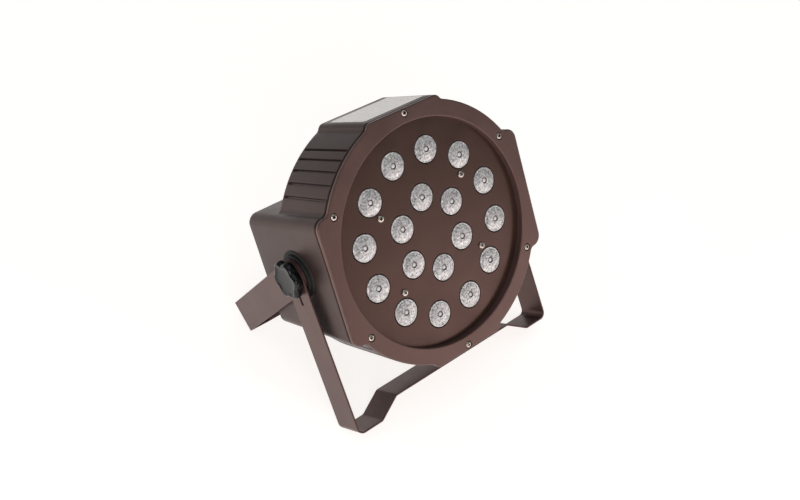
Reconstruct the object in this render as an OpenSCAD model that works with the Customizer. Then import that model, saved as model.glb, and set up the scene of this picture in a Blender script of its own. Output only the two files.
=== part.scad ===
/* [Head] */
// Half distance between opposite flat sides of the head
flat_half = 99; // [95:1:105]
// Radius of the round corners of the head
arc_r = 101; // [99:0.5:104]
// Half length of the left and right flats
side_flat_half = 50; // [44:1:54]
// Half length of the top and bottom flats
top_flat_half = 36; // [30:1:40]
// Backward tilt of the head from upright, in degrees
head_tilt = 32; // [20:1:36]
// Depth of the round drum behind the lens plane
drum_depth = 60; // [54:1:62]
// Depth of the connector box behind the lens plane
box_depth = 95; // [92:1:96]
// Wall thickness of the cast housing
wall = 2.5; // [2:0.1:3]
// Draft of the casting, as shrinkage per millimetre of depth
draft = 0.00013; // [0.0001:0.00001:0.0005]
// Taper of the box's top and bottom walls, as shrinkage per millimetre of depth
box_taper = 0.0006; // [0.0002:0.0001:0.0008]

/* [Lamps] */
// Pitch radius of the outer lens ring
outer_ring_r = 64; // [62:0.5:66]
// Pitch radius of the inner lens ring
inner_ring_r = 29.5; // [28:0.5:32]
// Radius of one lens at its front rim
lens_r = 10.3; // [9.6:0.1:10.6]
// Turn of the lens pattern about the optical axis, in degrees
pattern_turn = 2; // [0:0.5:4]

/* [Yokes] */
// Width of the yoke strip
strip_w = 27; // [24:1:30]
// Thickness of the yoke strip
strip_t = 1.5; // [1.2:0.1:2.2]
// Distance from the pivot to the underside of the inner yoke's feet
foot_reach = 128.3; // [127.5:0.1:131]
// Height of the raised middle of the crossbar above its feet
joggle = 12; // [8:0.5:12]
// Forward lean of the front yoke from the head's own upright, in degrees
front_lean = 4; // [2:1:6]
// Radius of the clamp bolt hole in each crossbar
clamp_hole_r = 5.3; // [4:0.1:6]

/* [Knobs] */
// Outer radius of a knob's lobes
knob_r = 15.5; // [13:0.5:16]
// Height of a knob
knob_h = 6.5; // [6:0.5:10]
// Number of lobes on a knob
lobes = 6; // [5:1:8]
// Radius of the pivot studs
stud_r = 3; // [2.5:0.5:4]

/* [Rear panel] */
// Travel of a menu button
button_travel = 0.8; // [0.5:0.1:1]
// Size of the square cooling fan
fan_size = 60; // [50:1:62]

/* [Hidden] */
$fn = 64;
fit = 0.05;
gap = 0.1;
touch = 0.02;

// Head: all depths are along the optical axis, zero at the lens plane, positive to the front
front_z = 6;
bezel_back_z = 2.6;
rim_z = 1.6;
bezel_open_r = 88;
bezel_lip_r = 91;
draft_angle = atan(flat_half * draft);
side_corner_r = 8.5;
top_corner_r = 6;
bezel_screw_r = 95.5;
plate_front_z = -0.3;
plate_t = 2;
plate_r = 90;
plate_screw_r = 51.3;
plate_screw_angle = 36.5;
groove_angles = [36, 42, 48, 53.5, 58.5];
groove_w = 2;
groove_depth = 1.6;
groove_start = 1.5;
groove_end = 62;

// Pivot of both yokes in the head's own frame, and its height over the floor
pivot_y = 5.2;
pivot_z = -40.5;
front_yoke_lean = head_tilt + front_lean;
yoke_gap = 2.4;
outer_reach = foot_reach + yoke_gap + strip_t;
pivot_h = outer_reach * cos(front_yoke_lean) + strip_w / 2 * sin(front_yoke_lean);
rear_corner = sqrt(foot_reach * foot_reach + strip_w * strip_w / 4);
rear_yoke_lean = atan(strip_w / 2 / foot_reach) + acos(pivot_h / rear_corner);

// Origin under the middle of the whole lamp: the bezel's foot is foremost, the rear yoke rearmost
front_y = (flat_half + pivot_y) * sin(head_tilt) + (front_z - pivot_z) * cos(head_tilt);
rear_y = foot_reach * sin(rear_yoke_lean) + strip_w / 2 * cos(rear_yoke_lean);
pivot_at = [0, (front_y - rear_y) / 2, pivot_h];

// Stack of pieces along each pivot, measured outwards from the head's middle plane
boss_x = 99.2;
boss_r = 19;
spacer_r = 16;
inner_arm_x = 101.3;
outer_arm_x = inner_arm_x + strip_t + 2 * gap;
washer_x = outer_arm_x + strip_t + gap;
washer_t = 1;
knob_x = washer_x + washer_t;
stud_in_x = 84;
stud_out_x = knob_x + 4.4;
foot_x = 81;
ramp_x = 62;
bend_r = 6;
slot_top = 14.5;
slot_len = 8.5;
slot_w = 3.6;

// Boards and cooling
lens_back_z = -13;
board_z = -14.6;
board_t = 1.6;
board_r = 80;
sink_z = board_z - board_t;
sink_t = 3.8;
sink_r = 82;
fin_z = -36;
fin_half = 46;
circuit_z = -50;
post_x = 60;
post_ys = [12, 36];
harness_x = -74;
harness_y = -3;
harness_r = 1.6;

// Rear panel and what it carries
panel_z = -90;
panel_t = 2;
panel_in_z = panel_z + panel_t;
panel_w = 190.2;
panel_h = 89.2;
panel_boss = [89.4, 39];
panel_boss_r = 7;
fan_x = -50;
fan_t = 15;
fan_bore_r = fan_size / 2 - 2;
fan_hole = fan_size / 2 - 5;
display_x = 21;
display_y = 29;
button_xs = [3, 15, 27, 39];
button_y = 10;
button_r = 3.4;
dmx_in_x = 6;
dmx_out_x = 36;
dmx_y = -23;
mains_x = 70;
mains_y = -10;
fuse_y = 15;
tab_x = -4;
tab_y = 30;

// ---------- Frames and shared shapes ----------

// Children are drawn in the head's frame: x right, y up the face, z out of the face
module in_head() {
    translate(pivot_at) rotate([90 - head_tilt, 0, 0])
        translate([0, -pivot_y, -pivot_z]) children();
}

// Children are drawn with the pivot axis as +z, on the side given (-1 left, 1 right)
module on_pivot(side) {
    translate(pivot_at) rotate([0, 90 * side, 0]) children();
}

module rounded_rect(w, h, r) {
    square([w - 2 * r, h], center = true);
    square([w, h - 2 * r], center = true);
    for (sx = [-1, 1], sy = [-1, 1])
        translate([sx * (w / 2 - r), sy * (h / 2 - r)]) circle(r = r);
}

module side_outline(inset = 0) {
    rounded_rect(2 * (flat_half - inset), 2 * (side_flat_half - inset), side_corner_r - inset);
}

module drum_outline(inset = 0) {
    side = 2 * (flat_half - inset);
    intersection() {
        square(side, center = true);
        union() {
            circle(r = arc_r - inset, $fn = 96);
            rounded_rect(2 * (top_flat_half - inset), side, top_corner_r - inset);
        }
    }
}

module head_outline(inset = 0) {
    drum_outline(inset);
    side_outline(inset);
}

// Extrudes backwards from the rim, shrinking with the draft
module drafted(back) {
    depth = rim_z - back;
    translate([0, 0, rim_z]) mirror([0, 0, 1])
        linear_extrude(height = depth, scale = 1 - draft * depth) children();
}

// The same for the box, whose top and bottom walls taper more
module tapered(back) {
    depth = rim_z - back;
    translate([0, 0, rim_z]) mirror([0, 0, 1])
        linear_extrude(height = depth, scale = [1 - draft * depth, 1 - box_taper * depth],
            slices = 1, $fn = 24) children();
}

module ring_at(r, angles) {
    for (a = angles) rotate([0, 0, a]) translate([r, 0, 0]) children();
}

module slab(x, y, z, t, w, h, r) {
    translate([x, y, z]) linear_extrude(t) rounded_rect(w, h, r);
}

module rod(r, z1, z2) {
    translate([0, 0, z1]) cylinder(r = r, h = z2 - z1);
}

module box(x, y, z) {
    translate([x[0], y[0], z[0]]) cube([x[1] - x[0], y[1] - y[0], z[1] - z[0]]);
}

// Pan-head screw: head above z = 0, shank below, cross recess on top
module pan_screw(head_r, head_h, shank_r, length) {
    difference() {
        union() {
            rod(head_r, 0, head_h * 0.55);
            translate([0, 0, head_h * 0.55])
                cylinder(r1 = head_r, r2 = head_r * 0.62, h = head_h * 0.45);
            rod(shank_r, -length, 0);
        }
        for (a = [0, 90]) rotate([0, 0, a])
            translate([0, 0, head_h]) cube([head_r * 1.1, head_r * 0.26, head_h], center = true);
    }
}

// ---------- Lamp pattern ----------

outer_angles = [for (k = [0:11]) 75 + pattern_turn + 30 * k];
inner_angles = [for (k = [0:5]) 90 + pattern_turn + 60 * k];
plate_screw_angles = [for (a = [0, 180], s = [-1, 1]) a + s * plate_screw_angle + pattern_turn];
bezel_screw_angles = [for (k = [0:5]) 30 + 60 * k];

// Every third lamp of both rings, starting from the given colour
module lamps_of(colour) {
    ring_at(outer_ring_r, [for (k = [colour:3:11]) outer_angles[k]]) children();
    ring_at(inner_ring_r, [for (k = [colour:3:5]) inner_angles[k]]) children();
}

module all_lamps() {
    for (colour = [0:2]) lamps_of(colour) children();
}

// ---------- Head shell ----------

module groove(angle) {
    rotate([0, 0, angle]) translate([arc_r, 0, rim_z]) rotate([0, draft_angle, 0])
        translate([-groove_depth, -groove_w / 2, -groove_end])
            cube([2 * groove_depth, groove_w, groove_end - groove_start]);
}

module rear_housing() {
    color("#4a4140") in_head() difference() {
        union() {
            difference() {
                union() {
                    drafted(-drum_depth) drum_outline();
                    tapered(-box_depth) side_outline();
                }
                drafted(-drum_depth + wall) drum_outline(wall);
                tapered(-box_depth - 1) side_outline(wall);
            }
            ring_at(bezel_screw_r, bezel_screw_angles) rod(3.2, -14, rim_z);
            for (sx = [-1, 1], sy = [-1, 1])
                translate([sx * panel_boss[0], sy * panel_boss[1], 0])
                    rod(panel_boss_r, panel_in_z, -drum_depth);
            for (side = [-1, 1]) translate([0, pivot_y, pivot_z]) rotate([0, 90 * side, 0]) {
                rod(boss_r, 96, boss_x);
                rod(9, 91, 96);
            }
        }
        for (sx = [-1, 1], sy = [-1, 1], a = groove_angles)
            groove(sx > 0 ? sy * a : 180 - sy * a);
        ring_at(bezel_screw_r, bezel_screw_angles) rod(1.5, -13, rim_z + 1);
        for (sx = [-1, 1], sy = [-1, 1])
            translate([sx * panel_boss[0], sy * panel_boss[1], 0]) rod(1.5, panel_in_z - 1, -68);
        for (side = [-1, 1]) translate([0, pivot_y, pivot_z]) rotate([0, 90 * side, 0])
            rod(stud_r + fit, 90, 100);
    }
}

module front_bezel() {
    color("#5a4d4b") in_head() difference() {
        union() {
            translate([0, 0, bezel_back_z]) linear_extrude(front_z - bezel_back_z) head_outline();
            rod(bezel_lip_r, plate_front_z, bezel_back_z + 1);
        }
        rod(bezel_open_r, plate_front_z - 1, front_z + 1);
        ring_at(bezel_screw_r, bezel_screw_angles) {
            rod(1.7, bezel_back_z - 1, front_z + 1);
            rod(3.4, front_z - 1.9, front_z + 1);
        }
    }
}

module bezel_gasket() {
    color("#161414") in_head() difference() {
        translate([0, 0, rim_z + touch]) linear_extrude(bezel_back_z - rim_z - 2 * touch)
            head_outline(1.2);
        rod(bezel_lip_r + 0.3, 0, 4);
        ring_at(bezel_screw_r, bezel_screw_angles) rod(1.8, 0, 4);
    }
}

module bezel_screws() {
    color("#9a8f88") in_head() ring_at(bezel_screw_r, bezel_screw_angles)
        translate([0, 0, front_z - 1.9]) pan_screw(2.8, 2, 1.45, 16);
}

module face_plate() {
    color("#3a302d") in_head() difference() {
        rod(plate_r, plate_front_z - plate_t, plate_front_z);
        all_lamps() rod(lens_r + 0.7, -4, 1);
        ring_at(plate_screw_r, plate_screw_angles) rod(1.7, -4, 1);
    }
}

module face_plate_screws() {
    color("#9a8f88") in_head() ring_at(plate_screw_r, plate_screw_angles)
        translate([0, 0, plate_front_z]) pan_screw(2.7, 1.8, 1.45, 18);
}

module rating_label() {
    color("#cfc6c4") in_head() translate([0, flat_half + touch, rim_z])
        rotate([-draft_angle, 0, 0]) translate([0, 0, -29]) rotate([-90, 0, 0])
            linear_extrude(0.3) rounded_rect(58, 46, 2);
}

// ---------- Lamps ----------

module lens() {
    rotate_extrude() polygon([[0, -11], [3, -11], [3, lens_back_z], [3.6, lens_back_z],
        [lens_r, -1.8], [lens_r, 0.2], [lens_r - 1.2, 0.5], [2.2, 0.9], [1.6, 0.3], [0, 0.3]]);
}

module lenses_red() { color("#d8c4c4", 0.6) in_head() lamps_of(0) lens(); }
module lenses_green() { color("#c9d0c6", 0.6) in_head() lamps_of(1) lens(); }
module lenses_blue() { color("#c6c9d2", 0.6) in_head() lamps_of(2) lens(); }

module lens_holders() {
    color("#201d1d") in_head() all_lamps() rotate_extrude()
        polygon([[4, board_z], [5.6, board_z], [12, -4], [12, -2.5], [10.5, -2.5], [4, -12.6]]);
}

module led() {
    box([-2.5, 2.5], [-2.5, 2.5], [board_z, board_z + 0.8]);
    rod(1.7, board_z + 0.8, board_z + 1.4);
    translate([0, 0, board_z + 1.4]) intersection() {
        sphere(r = 1.7);
        rod(2, 0, 2);
    }
}

module leds_red() { color("#c03030") in_head() lamps_of(0) led(); }
module leds_green() { color("#30a040") in_head() lamps_of(1) led(); }
module leds_blue() { color("#3050c0") in_head() lamps_of(2) led(); }

// ---------- Inside the head ----------

module led_board() {
    color("#e8e8e4") in_head() difference() {
        rod(board_r, board_z - board_t, board_z);
        ring_at(plate_screw_r, plate_screw_angles) rod(1.8, -20, 0);
    }
}

module heat_sink() {
    color("#b4b6b8") in_head() difference() {
        union() {
            rod(sink_r, sink_z - sink_t, sink_z);
            for (i = [-5:5])
                box([i * 9 - 0.9, i * 9 + 0.9], [-fin_half, fin_half], [fin_z, sink_z - 1]);
        }
        ring_at(plate_screw_r, plate_screw_angles) rod(1.5, -40, 0);
        translate([harness_x, harness_y, 0]) rod(2.4, -40, 0);
    }
}

module board_posts() {
    color("#c8b070") in_head() for (sx = [-1, 1], y = post_ys, sy = [-1, 1])
        translate([sx * post_x, sy * y, 0]) difference() {
            rod(2.6, circuit_z, sink_z - sink_t);
            rod(1.25, circuit_z - 1, circuit_z + 8);
        }
}

module circuit(y0, y1) {
    difference() {
        box([-66, 66], [y0, y1], [circuit_z - 1.6, circuit_z]);
        for (sx = [-1, 1], y = post_ys)
            translate([sx * post_x, y0 < 0 ? -y : y, 0]) rod(1.6, circuit_z - 3, circuit_z + 1);
    }
}

module power_board() {
    color("#2f6b3c") in_head() {
        circuit(-42, -6);
        box([-14, 12], [-36, -12], [circuit_z - 16, circuit_z - 1.6]);
        for (x = [-32, 28, 42]) translate([x, -26, 0]) rod(5, circuit_z - 15, circuit_z - 1.6);
        box([-56, -44], [-34, -20], [circuit_z - 12, circuit_z - 1.6]);
    }
}

module control_board() {
    color("#2a4f86") in_head() {
        circuit(6, 42);
        box([-8, 8], [16, 32], [circuit_z - 3.6, circuit_z - 1.6]);
        box([24, 44], [20, 28], [circuit_z - 8, circuit_z - 1.6]);
        box([-44, -24], [20, 28], [circuit_z - 8, circuit_z - 1.6]);
    }
}

// Bundle from the power board up through the heat sink to the back of the lamp board
module led_harness() {
    run_z = circuit_z + 4;
    drop_x = harness_x + 12;
    color("#a03030") in_head() translate([0, harness_y, 0]) {
        translate([harness_x, 0, 0]) rod(harness_r, run_z, sink_z - touch);
        for (x = [harness_x, drop_x]) translate([x, 0, run_z]) sphere(r = harness_r);
        translate([harness_x, 0, run_z]) rotate([0, 90, 0]) rod(harness_r, 0, drop_x - harness_x);
        translate([drop_x, 0, run_z]) rotate([120, 0, 0]) rod(harness_r, 0, 5);
    }
}

// ---------- Rear panel ----------

module xlr_cut(x, bore_r) {
    translate([x, dmx_y, 0]) rod(bore_r, panel_z - 1, panel_in_z + 1);
}

module xlr_flange_holes(x, r) {
    for (s = [-1, 1]) translate([x + s * 9.5, dmx_y + s * 12, 0]) rod(r, -96, -80);
}

module rear_panel() {
    color("#3d3635") in_head() difference() {
        slab(0, 0, panel_z, panel_t, panel_w, panel_h, 5.8);
        for (sx = [-1, 1], sy = [-1, 1])
            translate([sx * panel_boss[0], sy * panel_boss[1], 0]) rod(1.7, -95, -85);
        translate([fan_x, 0, 0]) rod(fan_bore_r, -95, -85);
        for (sx = [-1, 1], sy = [-1, 1])
            translate([fan_x + sx * fan_hole, sy * fan_hole, 0]) rod(1.7, -95, -85);
        slab(display_x, display_y, -95, 10, 30, 13, 1.5);
        for (x = button_xs) translate([x, button_y, 0]) rod(button_r + 0.2, -95, -85);
        for (x = [dmx_in_x, dmx_out_x]) {
            xlr_cut(x, 11.9);
            xlr_flange_holes(x, 1.4);
        }
        slab(mains_x, (mains_y + fuse_y) / 2, -95, 10, 28.4, 54.4, 3);
        for (s = [-1, 1]) translate([tab_x + s * 4, tab_y, 0]) rod(1.4, -95, -85);
    }
}

module rear_panel_screws() {
    color("#8d8682") in_head() for (sx = [-1, 1], sy = [-1, 1])
        translate([sx * panel_boss[0], sy * panel_boss[1], panel_z]) rotate([180, 0, 0])
            pan_screw(2.7, 1.8, 1.45, 16);
}

module display_module() {
    color("#2b2b30") in_head() {
        slab(display_x, display_y, panel_in_z + 0.3, 6, 34, 17, 1);
        slab(display_x, display_y, panel_in_z + 6.3, 1.6, 44, 22, 1);
    }
}

module display_window() {
    color("#5a1414", 0.7) in_head()
        slab(display_x, display_y, panel_z - 0.3, panel_t + 0.5, 29.8, 12.8, 1.4);
}

module button_board() {
    color("#2f6b3c") in_head() {
        slab((button_xs[0] + button_xs[3]) / 2, button_y, panel_in_z + 7.2, 1.6, 52, 12, 1);
        for (x = button_xs)
            box([x - 3, x + 3], [button_y - 3, button_y + 3], [panel_in_z + 3.8, panel_in_z + 7.2]);
    }
}

module button(i) {
    color("#d9d5d2") in_head() translate([button_xs[i], button_y, 0]) {
        rod(button_r, panel_z - 1, panel_in_z + 0.2);
        rod(button_r + 1, panel_in_z + gap, panel_in_z + 1);
        rod(1.5, panel_in_z + 1, panel_in_z + 3.7 - button_travel);
    }
}

// Square flange with two diagonal screw holes, round shell behind it
module xlr_body(x, bore_r, depth) {
    difference() {
        union() {
            slab(x, dmx_y, panel_z - 1.5, 1.5 - touch, 26, 31, 2);
            translate([x, dmx_y, 0]) rod(11.7, panel_z - 1.5, panel_z + depth);
        }
        if (bore_r > 0) translate([x, dmx_y, 0]) rod(bore_r, -95, panel_z + depth - 3);
        xlr_flange_holes(x, 1.6);
    }
}

module dmx_in_shell() {
    color("#a9abad") in_head() difference() {
        xlr_body(dmx_in_x, 9.4, 20);
        translate([dmx_in_x, dmx_y, 0]) ring_at(3.5, [90, 210, 330]) rod(1.2, -80, -60);
    }
}

module dmx_in_pins() {
    color("#d8c27a") in_head() translate([dmx_in_x, dmx_y, 0]) ring_at(3.5, [90, 210, 330]) {
        rod(1.18, panel_z + 5, -67);
    }
}

module dmx_out_shell() {
    color("#2a2828") in_head() difference() {
        xlr_body(dmx_out_x, 0, 20);
        translate([dmx_out_x, dmx_y, 0]) {
            ring_at(3.5, [90, 210, 330]) rod(1.3, -95, -78);
            box([-3.1, 3.1], [7.4, 10.6], [-95, -80]);
        }
    }
}

module dmx_out_latch() {
    color("#b9babb") in_head() translate([dmx_out_x, dmx_y, 0]) {
        box([-3, 3], [7.5, 10.5], [panel_z - 3, panel_z + 8]);
    }
}

module connector_screws() {
    color("#8d8682") in_head() {
        for (x = [dmx_in_x, dmx_out_x], s = [-1, 1])
            translate([x + s * 9.5, dmx_y + s * 12, panel_z - 1.5]) rotate([180, 0, 0])
                pan_screw(2.4, 1.5, 1.35, 8);
    }
}

module mains_inlet() {
    color("#1c1b1b") in_head() difference() {
        union() {
            slab(mains_x, (mains_y + fuse_y) / 2, panel_z - 1.8, 1.8 - touch, 31, 57, 3);
            slab(mains_x, (mains_y + fuse_y) / 2, panel_z - 1, 24, 28, 54, 3);
        }
        slab(mains_x, mains_y, panel_z - 3, 18, 24.5, 17, 2);
        translate([mains_x, mains_y, 0]) for (i = [-1:1])
            box([i * 7 - 1, i * 7 + 1], [-2.1 + abs(i) * 3, 2.1 + abs(i) * 3], [-80, -60]);
        box([mains_x - 11.1, mains_x + 11.1], [fuse_y - 5.1, fuse_y + 5.1], [-95, -69]);
    }
}

module mains_pins() {
    color("#c9cacc") in_head() translate([mains_x, mains_y, 0]) for (i = [-1:1])
        box([i * 7 - 0.98, i * 7 + 0.98], [-2.08 + abs(i) * 3, 2.08 + abs(i) * 3],
            [panel_z + 5, -64]);
}

module fuse_drawer() {
    color("#2c2a2a") in_head() translate([mains_x, fuse_y, 0]) difference() {
        union() {
            box([-12, 12], [-6, 6], [panel_z - 3.4, panel_z - 1.9]);
            box([-11, 11], [-5, 5], [panel_z - 2, -70]);
        }
        box([-10.4, 10.4], [-2.8, 6], [-85, -71.5]);
        box([-4, 4], [-7, -5.4], [-95, panel_z - 2.6]);
    }
}

module fuse() {
    color("#dfe3e4") in_head() translate([mains_x, fuse_y, -78]) rotate([0, 90, 0])
        rod(2.6, -10, 10);
}

// ---------- Fan ----------

module fan_frame() {
    color("#1a1a1a") in_head() translate([fan_x, 0, 0]) difference() {
        union() {
            difference() {
                slab(0, 0, panel_in_z + touch, fan_t, fan_size, fan_size, 3);
                rod(fan_bore_r, -95, -60);
            }
            rod(13, -76, panel_in_z + fan_t);
            for (a = [0, 90, 180, 270]) rotate([0, 0, a])
                box([11, fan_bore_r + 1], [-1.5, 1.5], [-75, panel_in_z + fan_t]);
        }
        for (sx = [-1, 1], sy = [-1, 1])
            translate([sx * fan_hole, sy * fan_hole, 0]) rod(1.6, -95, -60);
        rod(1.5 + fit, -90, -74);
    }
}

module fan_rotor() {
    color("#242424") in_head() translate([fan_x, 0, 0]) {
        rod(12.5, -87, -77);
        rod(1.5, -77.5, -74.2);
        for (k = [0:6]) rotate([0, 0, 360 / 7 * k]) translate([11.8, 0, -82])
            rotate([38, 0, 0]) translate([0, -6, -0.8]) cube([14.4, 12, 1.6]);
    }
}

module fan_guard() {
    color("#8f9092") in_head() translate([fan_x, 0, panel_z - 0.8 - touch]) {
        for (r = [7, 13, 19, 25]) rotate_extrude() translate([r, 0]) circle(r = 0.7);
        difference() {
            for (a = [45, 135]) rotate([0, 0, a])
                translate([0, 0, -0.1]) cube([2 * sqrt(2) * fan_hole, 1.6, 1.2], center = true);
            for (sx = [-1, 1], sy = [-1, 1])
                translate([sx * fan_hole, sy * fan_hole, 0]) rod(1.8, -2, 2);
        }
        for (sx = [-1, 1], sy = [-1, 1]) translate([sx * fan_hole, sy * fan_hole, -0.7])
            difference() {
                rod(3.2, 0, 1.4);
                rod(1.8, -1, 2);
            }
    }
}

module fan_screws() {
    color("#8d8682") in_head() for (sx = [-1, 1], sy = [-1, 1])
        translate([fan_x + sx * fan_hole, sy * fan_hole, panel_z - 1.55]) rotate([180, 0, 0])
            pan_screw(2.6, 1.6, 1.5, 17);
}

// Steel tab for a safety wire, with a foot plate under its two screws
module safety_tab() {
    color("#9fa1a3") in_head() translate([tab_x, tab_y, 0]) difference() {
        union() {
            slab(0, 0, panel_z - 1.6, 1.6 - touch, 16, 20, 1.5);
            box([-1.5, 1.5], [-9, 9], [panel_z - 11, panel_z - 1.6]);
            translate([-1.5, 0, panel_z - 11]) rotate([0, 90, 0]) cylinder(r = 9, h = 3);
        }
        translate([-5, 0, panel_z - 11]) rotate([0, 90, 0]) cylinder(r = 5, h = 10);
        for (s = [-1, 1]) translate([s * 4, 0, 0]) rod(1.4, -95, -85);
    }
}

module safety_tab_screws() {
    color("#8d8682") in_head() for (s = [-1, 1])
        translate([tab_x + s * 4, tab_y, panel_z - 1.6]) rotate([180, 0, 0])
            pan_screw(2.3, 1.4, 1.3, 7);
}

// ---------- Pivots and yokes ----------

module pivot_studs() {
    color("#b5b6b8") for (side = [-1, 1]) on_pivot(side) rod(stud_r, stud_in_x, stud_out_x);
}

module pivot_nuts() {
    color("#a5a6a8") for (side = [-1, 1]) on_pivot(side) difference() {
        translate([0, 0, 86]) cylinder(r = 5.8, h = 4.9, $fn = 6);
        rod(stud_r + touch, 80, 95);
    }
}

module pivot_spacers() {
    color("#141313") for (side = [-1, 1]) on_pivot(side) difference() {
        rod(spacer_r, boss_x + touch, inner_arm_x - gap);
        rod(stud_r + fit, 90, 110);
    }
}

// Points of an arc from one angle to another around a centre
function arc_points(c, r, a0, a1, n = 6) =
    [for (i = [0:n]) let (a = a0 + (a1 - a0) * i / n) c + r * [cos(a), sin(a)]];

// Half of the strip's line, from the arm's top to the middle: one face of it, at distance
// d inwards from the outer face. x is the arm's outer face, reach is the foot's underside.
function half_strip(x, reach, d) =
    let (ramp = atan(joggle / (foot_x - ramp_x)), lift = d * tan(ramp / 2))
    concat([[x - d, 14]],
        arc_points([x - bend_r, bend_r - reach], bend_r - d, 0, -90),
        [[foot_x + lift, d - reach], [ramp_x + lift, d - reach + joggle]]);

function mirrored(points) = [for (i = [len(points) - 1:-1:0]) [-points[i][0], points[i][1]]];
function reversed(points) = [for (i = [len(points) - 1:-1:0]) points[i]];

// U-shaped strip hanging from the pivot at the origin, arms down, crossbar along x
module yoke(x, reach) {
    outer = half_strip(x, reach, 0);
    inner = half_strip(x, reach, strip_t);
    difference() {
        intersection() {
            rotate([90, 0, 0]) translate([0, 0, -strip_w / 2]) linear_extrude(strip_w)
                polygon(concat(outer, mirrored(outer), reversed(mirrored(inner)),
                    reversed(inner)));
            rotate([0, 90, 0]) translate([0, 0, -x - 1]) {
                cylinder(r = strip_w / 2, h = 2 * x + 2);
                translate([0, -strip_w / 2, 0]) cube([reach + 1, strip_w, 2 * x + 2]);
            }
        }
        rotate([0, 90, 0]) {
            rod(stud_r + fit, -x - 1, x + 1);
            for (z = [slot_top + slot_w / 2, slot_top + slot_len - slot_w / 2])
                translate([z, 0, 0]) rod(slot_w / 2, -x - 1, x + 1);
            box([slot_top + slot_w / 2, slot_top + slot_len - slot_w / 2],
                [-slot_w / 2, slot_w / 2], [-x - 1, x + 1]);
        }
        rod(clamp_hole_r, -reach - 1, -reach / 2);
    }
}

module front_yoke() {
    color("#6b5c5b") translate(pivot_at) rotate([-front_yoke_lean, 0, 0])
        yoke(outer_arm_x + strip_t, outer_reach);
}

module rear_yoke() {
    color("#7a6664") translate(pivot_at) rotate([rear_yoke_lean, 0, 0])
        yoke(inner_arm_x + strip_t, foot_reach);
}

// ---------- Knobs ----------

module washer(side) {
    color("#b9babc") on_pivot(side) difference() {
        rod(9, washer_x, washer_x + washer_t - touch);
        rod(stud_r + fit, 90, 120);
    }
}

module knob(side) {
    color("#0c0c0d") on_pivot(side) translate([0, 0, knob_x]) difference() {
        union() {
            rod(knob_r - 3.4, 0, knob_h - 2.2);
            ring_at(knob_r - 4.2, [for (k = [0:lobes - 1]) 360 / lobes * k])
                rod(4.2, 0, knob_h - 2.2);
            translate([0, 0, knob_h - 2.2])
                cylinder(r1 = knob_r - 4, r2 = knob_r - 6.5, h = 2.2);
        }
        rod(stud_r + fit, -1, 4.6);
    }
}

rear_housing();
front_bezel();
bezel_gasket();
bezel_screws();
face_plate();
face_plate_screws();
rating_label();
lenses_red();
lenses_green();
lenses_blue();
lens_holders();
leds_red();
leds_green();
leds_blue();
led_board();
heat_sink();
board_posts();
power_board();
control_board();
led_harness();
rear_panel();
rear_panel_screws();
display_module();
display_window();
button_board();
button(0);  // button_menu
button(1);  // button_down
button(2);  // button_up
button(3);  // button_enter
dmx_in_shell();
dmx_in_pins();
dmx_out_shell();
dmx_out_latch();
connector_screws();
mains_inlet();
mains_pins();
fuse_drawer();
fuse();
fan_frame();
fan_rotor();
fan_guard();
fan_screws();
safety_tab();
safety_tab_screws();
pivot_studs();
pivot_nuts();
pivot_spacers();
front_yoke();
rear_yoke();
washer(-1);  // left_washer
washer(1);  // right_washer
knob(-1);  // left_knob
knob(1);  // right_knob
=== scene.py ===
"""Looks of a par can light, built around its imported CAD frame.

Meshes are drawn in millimetres in the frame of the part they belong to, then moved into the row
frame in metres: HEAD has x right, y up the face and z out of the face, with z = 0 at the lenses.
"""
import math

import bmesh
import bpy
from mathutils import Matrix, Vector


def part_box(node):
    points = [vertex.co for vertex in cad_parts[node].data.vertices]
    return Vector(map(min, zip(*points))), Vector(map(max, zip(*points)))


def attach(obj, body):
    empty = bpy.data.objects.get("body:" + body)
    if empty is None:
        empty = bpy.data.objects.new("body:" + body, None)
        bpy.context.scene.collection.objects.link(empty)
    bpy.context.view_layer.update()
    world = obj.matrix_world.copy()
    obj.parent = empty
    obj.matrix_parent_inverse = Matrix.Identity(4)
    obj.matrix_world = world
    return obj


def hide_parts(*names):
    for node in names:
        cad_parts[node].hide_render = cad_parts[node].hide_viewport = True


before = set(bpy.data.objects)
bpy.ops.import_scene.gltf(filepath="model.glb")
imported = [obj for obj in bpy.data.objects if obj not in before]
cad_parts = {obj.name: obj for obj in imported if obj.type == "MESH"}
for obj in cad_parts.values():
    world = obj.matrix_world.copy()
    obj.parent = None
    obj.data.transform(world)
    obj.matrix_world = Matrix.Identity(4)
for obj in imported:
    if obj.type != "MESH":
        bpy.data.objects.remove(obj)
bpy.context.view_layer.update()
scene = bpy.context.scene

# ---------- Sizes, in millimetres, the same as the CAD source's ----------

FLAT_HALF = 99.0
ARC_R = 101.0
SIDE_FLAT_HALF = 50.0
TOP_FLAT_HALF = 36.0
HEAD_TILT = 32.0
DRUM_DEPTH = 60.0
BOX_DEPTH = 95.0
BOX_TAPER = 0.0006
WALL = 2.5
DRAFT = 0.00013
SIDE_CORNER_R = 8.5
TOP_CORNER_R = 6.0
SIDE_BLEND_R = 5.0
TOP_BLEND_R = 4.5
GROOVE_ANGLES = (36, 42, 48, 53.5, 58.5)
GROOVE_DEPTH = 1.6
GROOVE_START = 1.5
BLEND_RUN = 9.0    # step from drum to box over which their roundings fade in
RIM_Z = 1.6

FRONT_Z = 6.0
BEZEL_BACK_Z = 2.6
BEZEL_OPEN_R = 88.0
BEZEL_LIP_R = 91.0
BEZEL_SCREW_R = 95.5
PLATE_FRONT_Z = -0.3
PLATE_T = 2.0
PLATE_R = 90.0
PLATE_SCREW_R = 51.3
OUTER_RING_R = 64.0
INNER_RING_R = 29.5
LENS_R = 10.3
PATTERN_TURN = 2.0

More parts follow.
